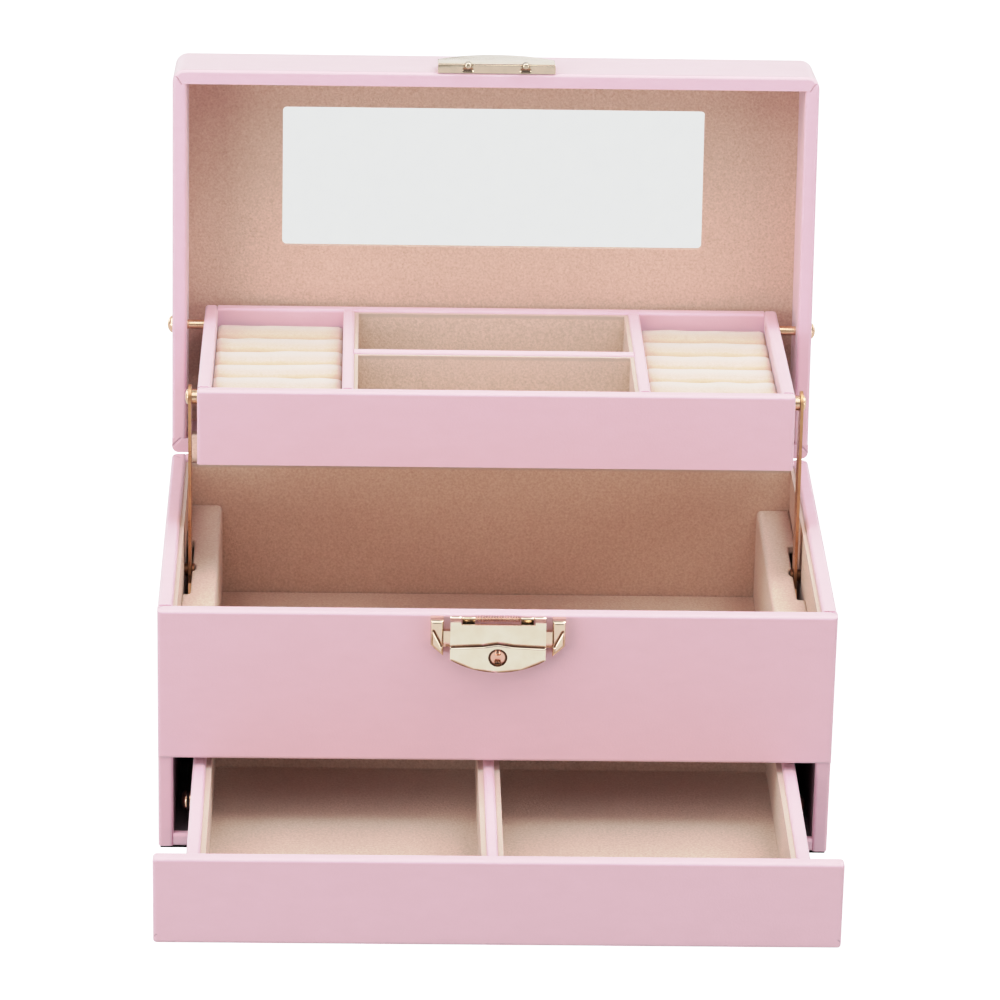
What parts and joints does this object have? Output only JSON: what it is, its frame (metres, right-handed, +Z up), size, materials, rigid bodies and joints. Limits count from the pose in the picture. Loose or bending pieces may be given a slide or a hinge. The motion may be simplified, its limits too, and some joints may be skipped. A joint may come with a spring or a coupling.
{
  "type": "jewellery box",
  "caption": "Tiered jewellery box with a mirrored lid, a ring tray that rises with the lid, and a drawer that slides out as the lid opens.",
  "frame": {"origin": "middle of the cabinet's underside, halfway along its depth without the drawer", "axes": "+X to the box's right seen from the front, +Y to the back, +Z up; lid open, tray raised and drawer out"},
  "size_m": [0.229, 0.2683, 0.2284],
  "materials": {
    "pink_wrap": "fine grained, satin",
    "wrapped_board": "fine grained, satin",
    "felt": "felt",
    "velvet": "short pile",
    "ring_velvet": "short pile",
    "dark_paper": "matt",
    "gold_metal": "polished, rose gold plated",
    "lock_metal": "polished, pale gold plated",
    "plug_metal": "brushed",
    "spring_steel": "plated wire",
    "mirror_glass": "silvered glass"
  },
  "bodies": {
    "cabinet": {"front_panel": "pink_wrap", "left_side_panel": "pink_wrap", "right_side_panel": "pink_wrap", "rear_panel": "pink_wrap", "bottom_panel": "wrapped_board", "base_felt": "felt", "middle_floor": "wrapped_board", "wall_linings": "velvet", "floor_lining": "velvet", "left_side_block": "velvet", "right_side_block": "velvet", "bay_liners": "dark_paper", "rocker_pivot_pins": "gold_metal", "cabinet_hinge_leaves": "gold_metal", "hinge_pins": "gold_metal", "cabinet_hinge_screws": "gold_metal", "hinge_strip": "velvet", "lock_base": "lock_metal", "latch_pin": "lock_metal", "latch_spring": "spring_steel"},
    "lid": {"lid_top": "pink_wrap", "lid_front": "pink_wrap", "lid_rear": "pink_wrap", "lid_left": "pink_wrap", "lid_right": "pink_wrap", "mirror_panel": "velvet", "mirror": "mirror_glass", "hasp": "lock_metal", "lid_hinge_leaves": "gold_metal", "lid_hinge_screws": "gold_metal", "tray_pivot_pins": "gold_metal", "handle_strap": "pink_wrap", "handle_end_caps": "gold_metal"},
    "tray": {"tray_front_board": "pink_wrap", "tray_rear_board": "pink_wrap", "tray_left_board": "pink_wrap", "tray_right_board": "pink_wrap", "tray_floor_board": "wrapped_board", "tray_left_divider": "pink_wrap", "tray_right_divider": "pink_wrap", "tray_cross_divider": "pink_wrap", "tray_liners": "velvet", "left_ring_cushion": "ring_velvet", "right_ring_cushion": "ring_velvet", "rocker_studs": "gold_metal"},
    "left_rocker": {"left_rocker": "gold_metal"},
    "right_rocker": {"right_rocker": "gold_metal"},
    "drawer": {"drawer_front": "pink_wrap", "drawer_left_board": "pink_wrap", "drawer_right_board": "pink_wrap", "drawer_rear_board": "pink_wrap", "drawer_bottom": "wrapped_board", "drawer_divider": "pink_wrap", "drawer_liners": "velvet", "drawer_plates": "gold_metal", "drawer_plate_studs": "gold_metal"},
    "flap": {"lock_flap": "lock_metal"},
    "plug": {"key_plug": "plug_metal"}
  },
  "joints": [
    {"name": "lid_hinge", "type": "hinge", "parent": "cabinet", "child": "lid", "pos_m": [0, 0.0685, 0.08815], "axis": [1, 0, 0], "range_deg": [0, 97.7], "deforming": ["hinge_strip"]},
    {"name": "tray_pivot", "type": "hinge", "parent": "lid", "child": "tray", "pos_m": [0, 0.08462, 0.13047], "axis": [1, 0, 0], "range_deg": [-94.97, 0.1]},
    {"name": "left_rocker_turn", "type": "hinge", "parent": "tray", "child": "left_rocker", "pos_m": [-0.1036, 0.01053, 0.13253], "axis": [1, 0, 0], "range_deg": [-0.1, 65.22]},
    {"name": "right_rocker_turn", "type": "hinge", "parent": "tray", "child": "right_rocker", "pos_m": [0.1036, 0.01053, 0.13253], "axis": [1, 0, 0], "range_deg": [-0.1, 65.22]},
    {"name": "drawer_slide", "type": "slide", "parent": "cabinet", "child": "drawer", "axis": [0, 1, 0], "range_m": [-0.0001, 0.0673]},
    {"name": "flap_hinge", "type": "hinge", "parent": "cabinet", "child": "flap", "pos_m": [0, -0.06975, 0.0868], "axis": [-1, 0, 0], "range_deg": [0, 25], "stiffness_Nm_per_rad": 0.002, "springref_deg": -11.46},
    {"name": "key_turn", "type": "hinge", "parent": "flap", "child": "plug", "pos_m": [0, -0.074, 0.0747], "axis": [0, 1, 0], "range_deg": [0, 90]}
  ],
  "couplings": [
    {"joint": "tray_pivot", "follows": "lid_hinge", "ratio": -0.97103},
    {"joint": "left_rocker_turn", "follows": "lid_hinge", "ratio": 0.66648},
    {"joint": "right_rocker_turn", "follows": "lid_hinge", "ratio": 0.66648},
    {"joint": "drawer_slide", "follows": "lid_hinge", "m_per_rad": 0.03941}
  ]
}
